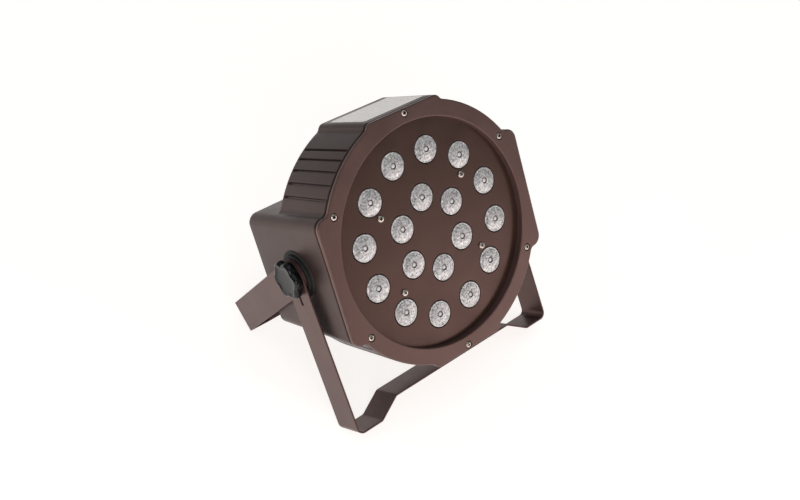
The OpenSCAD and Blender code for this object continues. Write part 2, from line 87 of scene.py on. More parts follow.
PIVOT_Y = 5.2
PIVOT_Z = -40.5
BOSS_X = 99.2
BOSS_R = 19.0
SPACER_R = 16.0
INNER_ARM_X = 101.3
STRIP_W = 27.0
STRIP_T = 1.5
FOOT_REACH = 128.3
YOKE_GAP = 2.4
JOGGLE = 12.0
FRONT_YOKE_LEAN = 36.0
FOOT_X = 81.0
RAMP_X = 62.0
BEND_R = 6.0
CLAMP_HOLE_R = 5.3
SLOT_TOP = 14.5
SLOT_LEN = 8.5
SLOT_W = 3.6

KNOB_R = 15.5
KNOB_LOBES = 6
KNOB_X = 105.6
STUD_R = 3.0

PANEL_Z = -90.0
PANEL_IN_Z = -88.0
PANEL_W, PANEL_H = 190.2, 89.2
SKIN = 0.03    # gap kept between pieces that touch
SCREW_HEAD_R = 2.7
FAN_X = -50.0
FAN_OPEN_R = 28.0
FAN_CORNERS = [(FAN_X + sx * 25, sy * 25) for sx in (-1, 1) for sy in (-1, 1)]
DISPLAY_X, DISPLAY_Y = 21.0, 29.0
BUTTON_XS, BUTTON_Y = (3, 15, 27, 39), 10.0
DMX_XS, DMX_Y = (6, 36), -23.0
MAINS_X, MAINS_Y, FUSE_Y = 70.0, -10.0, 15.0
TAB_X, TAB_Y = -4.0, 30.0
BEZEL_SCREW_ANGLES = [30 + 60 * k for k in range(6)]
PLATE_SCREW_ANGLES = [a + s * 36.5 + PATTERN_TURN for a in (0, 180) for s in (-1, 1)]
PANEL_BOSSES = [(sx * 89.4, sy * 39) for sx in (-1, 1) for sy in (-1, 1)]

# ---------- Frames ----------

MM = Matrix.Scale(0.001, 4)
knob_lo, knob_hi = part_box("left_washer")
PIVOT_AT = Vector((0, (knob_lo.y + knob_hi.y) / 2, (knob_lo.z + knob_hi.z) / 2)) * 1000
TO_PIVOT = MM @ Matrix.Translation(PIVOT_AT)
HEAD = (TO_PIVOT @ Matrix.Rotation(math.radians(90 - HEAD_TILT), 4, "X")
        @ Matrix.Translation((0, -PIVOT_Y, -PIVOT_Z)))
outer_reach = FOOT_REACH + YOKE_GAP + STRIP_T
rear_yoke_lean = math.degrees(math.atan(STRIP_W / 2 / FOOT_REACH) + math.acos(
    PIVOT_AT.z / math.hypot(FOOT_REACH, STRIP_W / 2)))


def on_pivot(side):
    """Frame with z outwards along the pivot axis, on the left (-1) or the right (1)."""
    return TO_PIVOT @ Matrix.Rotation(math.radians(90 * side), 4, "Y")


# ---------- Mesh helpers ----------

def polar(radius, degrees, centre=(0.0, 0.0)):
    a = math.radians(degrees)
    return (centre[0] + radius * math.cos(a), centre[1] + radius * math.sin(a))


def circle(radius, steps=48, centre=(0.0, 0.0)):
    return [polar(radius, 360 * i / steps, centre) for i in range(steps)]


def rounded(points, radius, steps=5, closed=True):
    """The polygon or line with rounded corners. radius is one number, or one for each corner."""
    radii = radius if isinstance(radius, (list, tuple)) else [radius] * len(points)
    out = []
    for i, here in enumerate(points):
        if radii[i] <= 0 or (not closed and i in (0, len(points) - 1)):
            out.append(tuple(here))
            continue
        p, q, r = Vector(points[i - 1]), Vector(here), Vector(points[(i + 1) % len(points)])
        a, b = (p - q).normalized(), (r - q).normalized()
        half = a.angle(b) / 2
        reach = min(radii[i] / math.tan(half), (p - q).length * 0.499, (r - q).length * 0.499)
        bend = reach * math.tan(half)
        centre = q + (a + b).normalized() * (bend / math.sin(half))
        start, end = q + a * reach - centre, q + b * reach - centre
        turn = start.angle_signed(end)
        for k in range(steps + 1):
            c, s = math.cos(-turn * k / steps), math.sin(-turn * k / steps)
            out.append((centre.x + start.x * c - start.y * s, centre.y + start.x * s + start.y * c))
    return out


def rounded_rect(w, h, r, centre=(0.0, 0.0), steps=6):
    x, y = centre
    corners = [(x + w / 2, y - h / 2), (x + w / 2, y + h / 2), (x - w / 2, y + h / 2),
               (x - w / 2, y - h / 2)]
    return rounded(corners, r, steps)


def loft(bm, rings, closed=True, loop=False, material=0):
    """Quads between rings of equal length. loop joins the last ring to the first."""
    made = [[bm.verts.new(p) for p in ring] for ring in rings]
    pairs = list(zip(made, made[1:])) + ([(made[-1], made[0])] if loop else [])
    count = len(made[0])
    for a, b in pairs:
        for i in range(count if closed else count - 1):
            j = (i + 1) % count
            face = bm.faces.new((a[i], a[j], b[j], b[i]))
            face.material_index = material
    return made


def lathe(bm, profile, steps=48, at=Matrix(), material=0):
    """Revolves (radius, z) points about z. A point on the axis becomes one pole."""
    rings = []
    for r, z in profile:
        if r < 1e-6:
            rings.append([bm.verts.new(at @ Vector((0, 0, z)))])
        else:
            rings.append([bm.verts.new(at @ Vector((*p, z))) for p in circle(r, steps)])
    for a, b in zip(rings, rings[1:]):
        for i in range(steps):
            j = (i + 1) % steps
            if len(a) == 1:
                corners = (a[0], b[j], b[i])
            elif len(b) == 1:
                corners = (a[i], a[j], b[0])
            else:
                corners = (a[i], a[j], b[j], b[i])
            bm.faces.new(corners).material_index = material


def turned(bm, profile, at=Matrix(), steps=48, bevel=0.3, material=0):
    """Lathe of a closed solid whose corners are rounded. The profile runs from axis to axis, or is
    a loop where the solid has a bore."""
    bored = profile[0][0] > 1e-6
    line = rounded(profile, bevel, 3, closed=bored)
    lathe(bm, line + line[:1] if bored else line, steps, at, material)
    bmesh.ops.remove_doubles(bm, verts=bm.verts, dist=1e-5)


def tube(bm, inner, outer, z0, z1, at=Matrix(), bevel=0.3, steps=48):
    turned(bm, [(inner, z0), (outer, z0), (outer, z1), (inner, z1)], at, steps, bevel)


def flat_part(outline, holes, z0, z1, edge=0.3):
    """Mesh of a plate with holes and rounded edges, from closed 2D loops."""
    curve = bpy.data.curves.new("flat", "CURVE")
    curve.dimensions = "2D"
    curve.fill_mode = "BOTH"
    curve.extrude = (z1 - z0) / 2 - edge
    curve.bevel_depth = edge
    curve.bevel_resolution = 2
    curve.offset = -edge
    for loop in [outline, *holes]:
        spline = curve.splines.new("POLY")
        spline.points.add(len(loop) - 1)
        for point, (x, y) in zip(spline.points, loop):
            point.co = (x, y, 0, 1)
        spline.use_cyclic_u = True
    holder = bpy.data.objects.new("flat", curve)
    scene.collection.objects.link(holder)
    shape = bpy.context.evaluated_depsgraph_get()
    mesh = bpy.data.meshes.new_from_object(holder.evaluated_get(shape))
    mesh.transform(Matrix.Translation((0, 0, (z0 + z1) / 2)))
    bpy.data.objects.remove(holder)
    bpy.data.curves.remove(curve)
    return mesh


def add_mesh(bm, mesh, at=Matrix(), material=0):
    """Adds a mesh to bm, moved by at, and frees it. A material replaces the mesh's own."""
    mesh.transform(at)
    first = len(bm.faces)
    bm.from_mesh(mesh)
    bm.faces.ensure_lookup_table()
    for face in bm.faces[first:] if material else []:
        face.material_index = material
    bpy.data.meshes.remove(mesh)


def add_plate(bm, outline, holes, z0, z1, edge=0.3, at=Matrix(), material=0):
    add_mesh(bm, flat_part(outline, holes, z0, z1, edge), at, material)


def piece(name, bm, materials, body, replaces=(), at=HEAD, sharp=32):
    """Turns bm into a named piece of the lamp in the row frame, which rides on a body."""
    bmesh.ops.remove_doubles(bm, verts=bm.verts, dist=1e-4)
    bmesh.ops.recalc_face_normals(bm, faces=bm.faces)
    bmesh.ops.transform(bm, matrix=at, verts=bm.verts)
    mesh = bpy.data.meshes.new(name)
    bm.to_mesh(mesh)
    bm.free()
    mesh.shade_smooth()
    mesh.set_sharp_from_angle(angle=math.radians(sharp))
    for material in materials if isinstance(materials, (list, tuple)) else [materials]:
        mesh.materials.append(material)
    obj = bpy.data.objects.new(name, mesh)
    scene.collection.objects.link(obj)
    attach(obj, body)
    if replaces:
        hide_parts(*replaces)
    even = obj.modifiers.new("even", "WEIGHTED_NORMAL")
    even.keep_sharp = True
    return obj


def cut(bm, cutter):
    """bm with cutter taken away from it, both freed; returns the new bmesh."""
    objs = []
    for source in (bm, cutter):
        bmesh.ops.recalc_face_normals(source, faces=source.faces)
        mesh = bpy.data.meshes.new("cut")
        source.to_mesh(mesh)
        source.free()
        objs.append(bpy.data.objects.new("cut", mesh))
        scene.collection.objects.link(objs[-1])
    boolean = objs[0].modifiers.new("cut", "BOOLEAN")
    boolean.operation = "DIFFERENCE"
    boolean.solver = "EXACT"
    boolean.object = objs[1]
    shape = bpy.context.evaluated_depsgraph_get()
    result = bmesh.new()
    mesh = bpy.data.meshes.new_from_object(objs[0].evaluated_get(shape))
    result.from_mesh(mesh)
    bpy.data.meshes.remove(mesh)
    for obj in objs:
        mesh = obj.data
        bpy.data.objects.remove(obj)
        bpy.data.meshes.remove(mesh)
    return result


# ---------- Materials ----------

def finish(name, colour, rough, metal=0.0, mottle=0.12, mottle_size=25, grain=0.0, grain_size=0.6,
           rough_spread=0.06, coat=0.0, specular=0.5, tint=(1, 1, 1), edge_glint=0.0):
    """A procedural finish. Sizes are in millimetres: mottle is slow colour variation, grain is a
    raised texture of that height, and edge_glint lightens sharp edges, a painted edge highlight."""
    material = bpy.data.materials.new(name)
    material.use_nodes = True
    nodes, links = material.node_tree.nodes, material.node_tree.links
    shader = nodes["Principled BSDF"]
    place = nodes.new("ShaderNodeTexCoord").outputs["Object"]
    slow = nodes.new("ShaderNodeTexNoise")
    slow.inputs["Scale"].default_value = 1000 / mottle_size
    slow.inputs["Detail"].default_value = 5
    fine = nodes.new("ShaderNodeTexNoise")
    fine.inputs["Scale"].default_value = 1000 / grain_size
    fine.inputs["Detail"].default_value = 3
    for node in (slow, fine):
        links.new(place, node.inputs["Vector"])
    ramp = nodes.new("ShaderNodeValToRGB")
    ramp.color_ramp.elements[0].position = 0.3
    ramp.color_ramp.elements[1].position = 0.7
    ramp.color_ramp.elements[0].color = (*[c * (1 - mottle) for c in colour], 1)
    ramp.color_ramp.elements[1].color = (*[min(1, c * (1 + mottle)) for c in colour], 1)
    links.new(slow.outputs["Fac"], ramp.inputs["Fac"])
    tone = ramp.outputs["Color"]
    speckle = nodes.new("ShaderNodeMix")
    speckle.data_type = "RGBA"
    speckle.blend_type = "MULTIPLY"
    speckle.inputs["Factor"].default_value = 0.35
    links.new(tone, speckle.inputs["A"])
    links.new(fine.outputs["Fac"], speckle.inputs["B"])
    tone = speckle.outputs["Result"]
    # Sharp edges made lighter by pointiness: painted edge highlight.
    if edge_glint:
        edge = nodes.new("ShaderNodeNewGeometry")
        pick = nodes.new("ShaderNodeMapRange")
        pick.inputs["From Min"].default_value = 0.53
        pick.inputs["From Max"].default_value = 0.62
        pick.inputs["To Max"].default_value = edge_glint
        links.new(edge.outputs["Pointiness"], pick.inputs["Value"])
        glint_mix = nodes.new("ShaderNodeMix")
        glint_mix.data_type = "RGBA"
        glint_mix.inputs["B"].default_value = (*[min(1, c * 2.2 + 0.05) for c in colour], 1)
        links.new(pick.outputs["Result"], glint_mix.inputs["Factor"])
        links.new(tone, glint_mix.inputs["A"])
        tone = glint_mix.outputs["Result"]
    links.new(tone, shader.inputs["Base Color"])
    spread = nodes.new("ShaderNodeMapRange")
    spread.inputs["From Min"].default_value = 0.25
    spread.inputs["From Max"].default_value = 0.75
    spread.inputs["To Min"].default_value = max(0.02, rough - rough_spread)
    spread.inputs["To Max"].default_value = min(1.0, rough + rough_spread)
    links.new(slow.outputs["Fac"], spread.inputs["Value"])
    links.new(spread.outputs["Result"], shader.inputs["Roughness"])
    if grain:
        bump = nodes.new("ShaderNodeBump")
        bump.inputs["Strength"].default_value = 1.0
        bump.inputs["Distance"].default_value = grain / 1000
        links.new(fine.outputs["Fac"], bump.inputs["Height"])
        links.new(bump.outputs["Normal"], shader.inputs["Normal"])
    shader.inputs["Metallic"].default_value = metal
    shader.inputs["Coat Weight"].default_value = coat
    shader.inputs["Specular IOR Level"].default_value = specular
    shader.inputs["Specular Tint"].default_value = (*tint, 1)
    return material


SHEEN = (1.0, 0.56, 0.5)
BLACK_CAST = finish("cast_satin", (0.03, 0.021, 0.019), 0.38, grain=0.05, grain_size=0.9,
                    specular=0.6, tint=SHEEN)
BEZEL_SATIN = finish("bezel_satin", (0.095, 0.058, 0.052), 0.34, grain=0.03, grain_size=0.7,
                     specular=0.85, tint=SHEEN)
PLATE_SATIN = finish("plate_satin", (0.04, 0.023, 0.017), 0.32, grain=0.02, grain_size=0.5,
                     specular=0.75, tint=SHEEN)
# The yoke coat gets a painted edge highlight on its sharp edges.
YOKE_COAT = finish("yoke_powder_coat", (0.052, 0.031, 0.028), 0.38, grain=0.06, grain_size=1.1,
                   specular=1.0, tint=SHEEN, edge_glint=0.25)
RUBBER = finish("rubber", (0.012, 0.011, 0.011), 0.7, grain=0.03)
KNOB_GLOSS = finish("knob_gloss", (0.004, 0.005, 0.006), 0.13, specular=0.3, mottle_size=8)
NICKEL = finish("screw_nickel", (0.86, 0.74, 0.66), 0.24, metal=1.0, grain=0.01, mottle_size=4)
STEEL = finish("bare_steel", (0.55, 0.54, 0.53), 0.33, metal=1.0, grain=0.01, mottle_size=6)
LABEL_FILM = finish("label_film", (0.98, 0.86, 0.8), 0.24, mottle=0.05, mottle_size=9, coat=0.3)
# Clear lens drawn as bright speckled silver: painted reflection and sparkle.
LENS_SPARKLE_PAINT = finish("lens_clear", (1.0, 0.86, 0.86), 0.16, metal=0.35, mottle=0.7,
                    mottle_size=1.5, grain=0.12, grain_size=1.5, coat=0.7)
# Near-white lens middle: painted highlight.
LENS_CENTRE_HIGHLIGHT = finish("lens_painted_highlight", (0.95, 0.9, 0.9), 0.2, mottle=0.1, mottle_size=1.0, coat=0.5)
# Dark ring on the lens pit wall: painted shade.
LENS_PIT_SHADE = finish("lens_painted_shade", (0.1, 0.07, 0.07), 0.2, metal=0.6, mottle=0.3, mottle_size=1.0,
                   coat=0.4)
# Black of the lens holders, also used as painted shade in the screw recesses.
HOLDER_BLACK_AND_RECESS_SHADE = finish("holder_black", (0.02, 0.018, 0.018), 0.5, grain=0.02)
BOARD_WHITE = finish("board_white", (0.8, 0.8, 0.77), 0.45, mottle=0.04)
ALUMINIUM = finish("aluminium", (0.72, 0.73, 0.74), 0.38, metal=1.0, grain=0.02, mottle_size=10)
BRASS = finish("brass", (0.72, 0.53, 0.24), 0.3, metal=1.0, mottle_size=3)
PCB_GREEN = finish("circuit_green", (0.03, 0.16, 0.06), 0.4, mottle=0.3, mottle_size=6)
PCB_BLUE = finish("circuit_blue", (0.02, 0.07, 0.25), 0.4, mottle=0.3, mottle_size=6)
WIRE_RED = finish("wire_red", (0.45, 0.03, 0.025), 0.45)
LED_RED = finish("led_red", (0.55, 0.05, 0.04), 0.2, coat=0.5, mottle_size=1)
LED_GREEN = finish("led_green", (0.05, 0.4, 0.1), 0.2, coat=0.5, mottle_size=1)
LED_BLUE = finish("led_blue", (0.05, 0.1, 0.6), 0.2, coat=0.5, mottle_size=1)
DISPLAY_DARK = finish("display_dark", (0.03, 0.03, 0.035), 0.35)
WINDOW_RED = finish("window_red", (0.16, 0.008, 0.01), 0.08, coat=0.6, mottle_size=5)
BUTTON_GREY = finish("button_grey", (0.55, 0.53, 0.52), 0.42, grain=0.01, mottle=0.04)
SHELL_NICKEL = finish("shell_nickel", (0.6, 0.6, 0.6), 0.3, metal=1.0, mottle_size=5)
SOCKET_BLACK = finish("socket_black", (0.02, 0.02, 0.02), 0.4, grain=0.02)
FUSE_GLASS = finish("fuse_glass", (0.75, 0.8, 0.82), 0.08, coat=0.5, mottle_size=3)
FAN_BLACK = finish("fan_black", (0.018, 0.018, 0.019), 0.45, grain=0.02)
GUARD_STEEL = finish("guard_steel", (0.5, 0.5, 0.51), 0.25, metal=1.0, mottle_size=4)

NODE_FINISH = {
    "bezel_gasket": RUBBER, "bezel_screws": NICKEL, "face_plate_screws": NICKEL,
    "lens_holders": HOLDER_BLACK_AND_RECESS_SHADE, "leds_red": LED_RED, "leds_green": LED_GREEN, "leds_blue": LED_BLUE,
    "led_board": BOARD_WHITE, "heat_sink": ALUMINIUM, "board_posts": BRASS,
    "power_board": PCB_GREEN, "control_board": PCB_BLUE, "led_harness": WIRE_RED,
    "rear_panel": BLACK_CAST, "rear_panel_screws": NICKEL, "display_module": DISPLAY_DARK,
    "display_window": WINDOW_RED, "button_board": PCB_GREEN, "button_menu": BUTTON_GREY,
    "button_down": BUTTON_GREY, "button_up": BUTTON_GREY, "button_enter": BUTTON_GREY,
    "dmx_in_shell": SHELL_NICKEL, "dmx_in_pins": BRASS, "dmx_out_shell": SOCKET_BLACK,
    "dmx_out_latch": SHELL_NICKEL, "connector_screws": NICKEL, "mains_inlet": SOCKET_BLACK,
    "mains_pins": SHELL_NICKEL, "fuse_drawer": SOCKET_BLACK, "fuse": FUSE_GLASS,
    "fan_frame": FAN_BLACK, "fan_rotor": FAN_BLACK, "fan_guard": GUARD_STEEL,
    "fan_screws": NICKEL, "safety_tab": STEEL, "safety_tab_screws": NICKEL,
    "pivot_studs": STEEL, "pivot_nuts": STEEL, "pivot_spacers": RUBBER, "left_washer": STEEL,
    "right_washer": STEEL, "rear_housing": BLACK_CAST, "front_bezel": BEZEL_SATIN,
    "face_plate": PLATE_SATIN, "rating_label": LABEL_FILM, "lenses_red": LENS_SPARKLE_PAINT,
    "lenses_green": LENS_SPARKLE_PAINT, "lenses_blue": LENS_SPARKLE_PAINT, "front_yoke": YOKE_COAT,
    "rear_yoke": YOKE_COAT, "left_knob": KNOB_GLOSS, "right_knob": KNOB_GLOSS,
}
for node_name, material in NODE_FINISH.items():
    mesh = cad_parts[node_name].data
    mesh.materials.clear()
    mesh.materials.append(material)
    mesh.shade_smooth()
    mesh.set_sharp_from_angle(angle=math.radians(30))

# ---------- Outline of the head ----------


def blend_centre(corner, corner_r, blend_r):
    """Centre of the hollow blend between the round of the head and one corner's round."""
    k = Vector(corner)
    a, b = ARC_R + blend_r, corner_r + blend_r
    swing = math.acos((a * a + k.length_squared - b * b) / (2 * a * k.length))
    toward = 1 if k.y < k.x else -1
    turn = math.atan2(k.y, k.x) + toward * swing
    return Vector((a * math.cos(turn), a * math.sin(turn)))


def arc_samples(centre, radius, start, end, steps, inward=False):
    """(point, outward normal, groove share) along an arc, in degrees."""
    out = []
    for i in range(steps + 1):
        a = start + (end - start) * i / steps
        n = Vector(polar(1, a))
        out.append((Vector(centre) + n * radius, -n if inward else n, 0.0))
    return out


def quadrant():
    """Samples of the outline from the middle of the right flat to the middle of the top flat."""
    side_c = Vector((FLAT_HALF - SIDE_CORNER_R, SIDE_FLAT_HALF - SIDE_CORNER_R))
    top_c = Vector((TOP_FLAT_HALF - TOP_CORNER_R, FLAT_HALF - TOP_CORNER_R))
    side_b = blend_centre(side_c, SIDE_CORNER_R, SIDE_BLEND_R)
    top_b = blend_centre(top_c, TOP_CORNER_R, TOP_BLEND_R)
    angle = lambda v: math.degrees(math.atan2(v.y, v.x))
    out = [(Vector((FLAT_HALF, y)), Vector((1, 0)), 0.0) for y in range(0, int(side_c.y), 4)]
    out += arc_samples(side_c, SIDE_CORNER_R, 0, angle(side_b - side_c), 12)
    first_drum = len(out) - 1
    start = angle(side_c - side_b)
    out += arc_samples(side_b, SIDE_BLEND_R, start, angle(side_b) - 180, 8, inward=True)[1:]
    low, high = angle(side_b), angle(top_b)
    stops = {low: 0.0, high: 0.0}
    clear = 0
    for a in GROOVE_ANGLES:
        for off, depth in ((1.35, 0), (1.12, 0.08), (0.98, 0.4), (0.84, 0.85), (0.65, 1)):
            for s in (-1, 1):
                stops[a + s * math.degrees(off / ARC_R)] = depth
        stops[float(a)] = 1.0
        for s in (-0.5, 0.5):
            stops[a + s * 3.4] = 0.0
    while low + clear < high:
        clear += 1.6
        if all(abs(low + clear - a) > 1.2 for a in stops):
            stops[low + clear] = 0.0
    for a in sorted(stops):
        if low < a <= high:
            n = Vector(polar(1, a))
            out.append((n * ARC_R, n, stops[a]))
    start, end = angle(top_b) + 180, angle(top_c - top_b) + 360
    out += arc_samples(top_b, TOP_BLEND_R, start, end, 8, inward=True)[1:]
    out += arc_samples(top_c, TOP_CORNER_R, angle(top_b - top_c), 90, 8)[1:]
    out += [(Vector((x, FLAT_HALF)), Vector((0, 1)), 0.0) for x in (24, 18, 12, 6, 0)]
    return out, first_drum


def whole_outline():
    """The full loop, and the index pairs between which the round drum stands out of the box."""
    part, drum = quadrant()
    count = len(part) - 1
    loop = []
    for k, (sx, sy) in enumerate(((1, 1), (-1, 1), (-1, -1), (1, -1))):
        flip = lambda v: Vector((v.x * sx, v.y * sy))
        samples = [(flip(p), flip(n), g) for p, n, g in part]
        samples = samples if k % 2 == 0 else samples[::-1]
        loop += samples[:-1]
    return loop, [(drum, 2 * count - drum), (2 * count + drum, 4 * count - drum)]


OUTLINE, DRUM_SPANS = whole_outline()


def drafted(point, z, box_share):
    """The outline point at depth z, drawn in by the draft, and in y by the taper of the box."""
    taper = DRAFT + (BOX_TAPER - DRAFT) * box_share
    return Vector((point.x * (1 - DRAFT * (RIM_Z - z)), point.y * (1 - taper * (RIM_Z - z)), z))


# ---------- Rear housing ----------

def box_outline():
    """For each outline sample, its (point, normal) on the outline of the box behind the drum."""
    out = [(p, n) for p, n, g in OUTLINE]
    corner = Vector((FLAT_HALF - SIDE_CORNER_R, SIDE_FLAT_HALF - SIDE_CORNER_R))
    for first, last in DRUM_SPANS:
        for k in range(first + 1, last):
            x, sy = OUTLINE[k][0].x, math.copysign(1, OUTLINE[k][0].y)
            over = max(0.0, abs(x) - corner.x)
            rise = math.sqrt(SIDE_CORNER_R ** 2 - over ** 2)
            out[k] = (Vector((x, sy * (corner.y + rise))),
                      Vector((math.copysign(over, x), sy * rise)) / SIDE_CORNER_R)
    return out


def housing_shell():
    box = box_outline()
    step = [(OUTLINE[k][0] - box[k][0]).length for k in range(len(OUTLINE))]
    shares = [1.0] * len(OUTLINE)
    for first, last in DRUM_SPANS:
        for k in range(first + 1, last):
            shares[k] = max(0.0, 1 - min(k - first, last - k) / 8)
    back = -DRUM_DEPTH
    quarter = [math.radians(a) for a in (0, 22.5, 45, 67.5, 90)]

    def drum(z, inset=0.0, groove=0.0, edge=0.0):
        return [drafted(p - n * (inset + groove * g * GROOVE_DEPTH + edge * min(1, d / BLEND_RUN)),
                        z, share)
                for (p, n, g), d, share in zip(OUTLINE, step, shares)]

    def tail(z, inset=0.0, flare=0.0):
        return [drafted(p - n * (inset - flare * min(1, d / BLEND_RUN)), z, 1)
                for (p, n), d in zip(box, step)]

    rings = [drum(RIM_Z, WALL), drum(RIM_Z, 0.9), drum(RIM_Z - 0.25, 0.27), drum(RIM_Z - 0.85)]
    top = RIM_Z - GROOVE_START
    rings += [drum(top), drum(top - 0.35, groove=0.5), drum(top - 0.7, groove=0.87),
              drum(top - 1.3, groove=1)]
    rings += [drum(z, groove=1) for z in (-8, -16, -24, -32, -40, -48, back + 3.4)]
    rings += [drum(back + 2.9, groove=0.8), drum(back + 2.5, groove=0.3), drum(back + 2.1)]
    rings += [drum(back + 1.5 * (1 - math.sin(t)), edge=1.5 * (1 - math.cos(t)))
              for t in quarter]
    rings += [tail(back - 3 * (1 - math.cos(t)), flare=3 * (1 - math.sin(t))) for t in quarter]
    rings += [tail(z) for z in (-70, -78, -86)]
    rings += [tail(-BOX_DEPTH + 1 - math.sin(t), 1 - math.cos(t)) for t in quarter]
    rings += [tail(-BOX_DEPTH, WALL - 0.3), tail(-BOX_DEPTH + 0.3, WALL), tail(-75, WALL),
              tail(back + WALL, WALL), drum(back + WALL, WALL), drum(-30, WALL)]
    bm = bmesh.new()
    loft(bm, rings, loop=True)
    for a in BEZEL_SCREW_ANGLES:
        tube(bm, 1.5, 3.2, -14, RIM_Z - 0.3, Matrix.Translation((*polar(BEZEL_SCREW_R, a), 0)),
             0.2, 24)
    for x, y in PANEL_BOSSES:
        tube(bm, 1.5, 7, PANEL_IN_Z + 0.05, back + 1, Matrix.Translation((x, y, 0)), 0.3, 32)
    for side in (-1, 1):
        at = (Matrix.Translation((0, PIVOT_Y, PIVOT_Z))
              @ Matrix.Rotation(math.radians(90 * side), 4, "Y"))
        turned(bm, [(0, 97), (BOSS_R, 97), (BOSS_R, BOSS_X), (0, BOSS_X)], at, 72, 0.5, 1)
        turned(bm, [(0, 91), (9, 91), (9, 97.3), (0, 97.3)], at, 40, 0.5)
    return piece("housing_casting", bm, [BLACK_CAST, RUBBER], "head", ["rear_housing"], sharp=38)


# ---------- Screws ----------

def screw_mesh(head_r, head_h, shank_r=1.45, length=8.0):
    """Pan-head screw with a cross recess: head above z = 0, shank below."""
    bm = bmesh.new()
    lathe(bm, [(0, -length), (shank_r * 0.7, -length), (shank_r, -length + 0.6), (shank_r, 0),
               *rounded([(shank_r, 0), (head_r, 0), (head_r, head_h * 0.42),
                         (head_r * 0.86, head_h * 0.8), (head_r * 0.5, head_h * 0.97), (0, head_h)],
                        head_h * 0.22, 3, closed=False)[1:]], 32)
    cross = bmesh.new()
    rings = []
    for z, arm, half in ((head_h + 0.3, 0.56, 0.2), (head_h * 0.75, 0.5, 0.17),
                         (head_h * 0.1, 0.25, 0.13)):
        a, h = arm * head_r, half * head_r
        ring = []
        for k in range(4):
            turn = Matrix.Rotation(math.radians(90 * k), 2)
            ring += [turn @ Vector(v) for v in ((a, -h), (a, h), (h, h))]
        rings.append([Vector((*v, z)) for v in ring])
    made = loft(cross, rings)
    cross.faces.new(made[0])
    cross.faces.new(made[-1])
    bm = cut(bm, cross)
    # Faces inside the cross recess get the black material: painted shade in the recess.
    for face in bm.faces:
        spot = face.calc_center_median()
        in_recess = 0.02 < spot.z < head_h * 0.8 and spot.xy.length < head_r * 0.6
        face.material_index = 1 if in_recess else 0
    mesh = bpy.data.meshes.new("screw")
    bm.to_mesh(mesh)
    bm.free()
    return mesh


def screws(name, places, turn, head_r, head_h, node, length=8.0):
    """Piece made of equal screws, each turned that many degrees further than the last."""
    template = screw_mesh(head_r, head_h, 1.45, length)
    bm = bmesh.new()
    for k, at in enumerate(places):
        add_mesh(bm, template.copy(), at @ Matrix.Rotation(math.radians(turn * k), 4, "Z"))
    bpy.data.meshes.remove(template)
    # The black second material is the painted shade in the screw recesses.
    return piece(name, bm, [NICKEL, HOLDER_BLACK_AND_RECESS_SHADE], "head", [node], sharp=35)


# ---------- Front ----------

def front_bezel():
    bm = bmesh.new()
    back, low = BEZEL_BACK_Z, PLATE_FRONT_Z
    outer = [(0.7, back), (0.2, back + 0.2), (0, back + 0.65), (0, 4.8), (0.09, 5.26), (0.35, 5.65),
             (0.74, 5.91), (1.2, FRONT_Z)]
    opening = [(1.1, FRONT_Z), (0.5, 5.86), (0.12, 5.5), (0, 5.0), (0, 0.1), (0.12, -0.2),
               (0.4, low)]
    lip = [(-0.5, low), (-0.12, -0.16), (0, 0.2), (0, back)]
    rings = [[Vector((*(p - n * inset), z)) for p, n, g in OUTLINE] for inset, z in outer]
    for start, steps in ((BEZEL_OPEN_R, opening), (BEZEL_LIP_R, lip)):
        for out, z in steps:
            rings.append([Vector((*(p.normalized() * (start + out)), z)) for p, n, g in OUTLINE])
    loft(bm, rings, loop=True)
    cutter = bmesh.new()
    for a in BEZEL_SCREW_ANGLES:
        at = Matrix.Translation((*polar(BEZEL_SCREW_R, a), 0))
        lathe(cutter, [(0, 2), (1.7, 2), (1.7, FRONT_Z - 1.9), (3.1, FRONT_Z - 1.9),
                       (3.1, FRONT_Z - 0.25), (3.35, FRONT_Z + 0.02), (3.4, FRONT_Z + 1),
                       (0, FRONT_Z + 1)], 40, at)
    return piece("bezel_ring", cut(bm, cutter), BEZEL_SATIN, "head", ["front_bezel"], sharp=30)


def lamp_places():
    """(x, y, colour index) of every lamp, outer ring first."""
    out = [(*polar(OUTER_RING_R, 75 + PATTERN_TURN + 30 * k), k % 3) for k in range(12)]
    return out + [(*polar(INNER_RING_R, 90 + PATTERN_TURN + 60 * k), k % 3) for k in range(6)]


def face_plate():
    bm = bmesh.new()
    holes = [circle(LENS_R + 0.75, 56, (x, y)) for x, y, c in lamp_places()]
    holes += [circle(1.7, 24, polar(PLATE_SCREW_R, a)) for a in PLATE_SCREW_ANGLES]
    add_plate(bm, circle(PLATE_R, 144), holes, PLATE_FRONT_Z - PLATE_T, PLATE_FRONT_Z, 0.35)
    return piece("lens_plate", bm, PLATE_SATIN, "head", ["face_plate"], sharp=30)


def bead(x, y, pitch, height):
    """Height of a field of small domes set in a hexagon grid."""
    row_h = pitch * math.sqrt(3) / 2
    row = round(y / row_h)
    best = 9e9
    for j in (row - 1, row, row + 1):
        off = pitch / 2 if j % 2 else 0
        i = round((x - off) / pitch)
        best = min(best, (x - off - i * pitch) ** 2 + (y - j * row_h) ** 2)
    return height * max(0.0, 1 - best / (0.56 * pitch) ** 2)


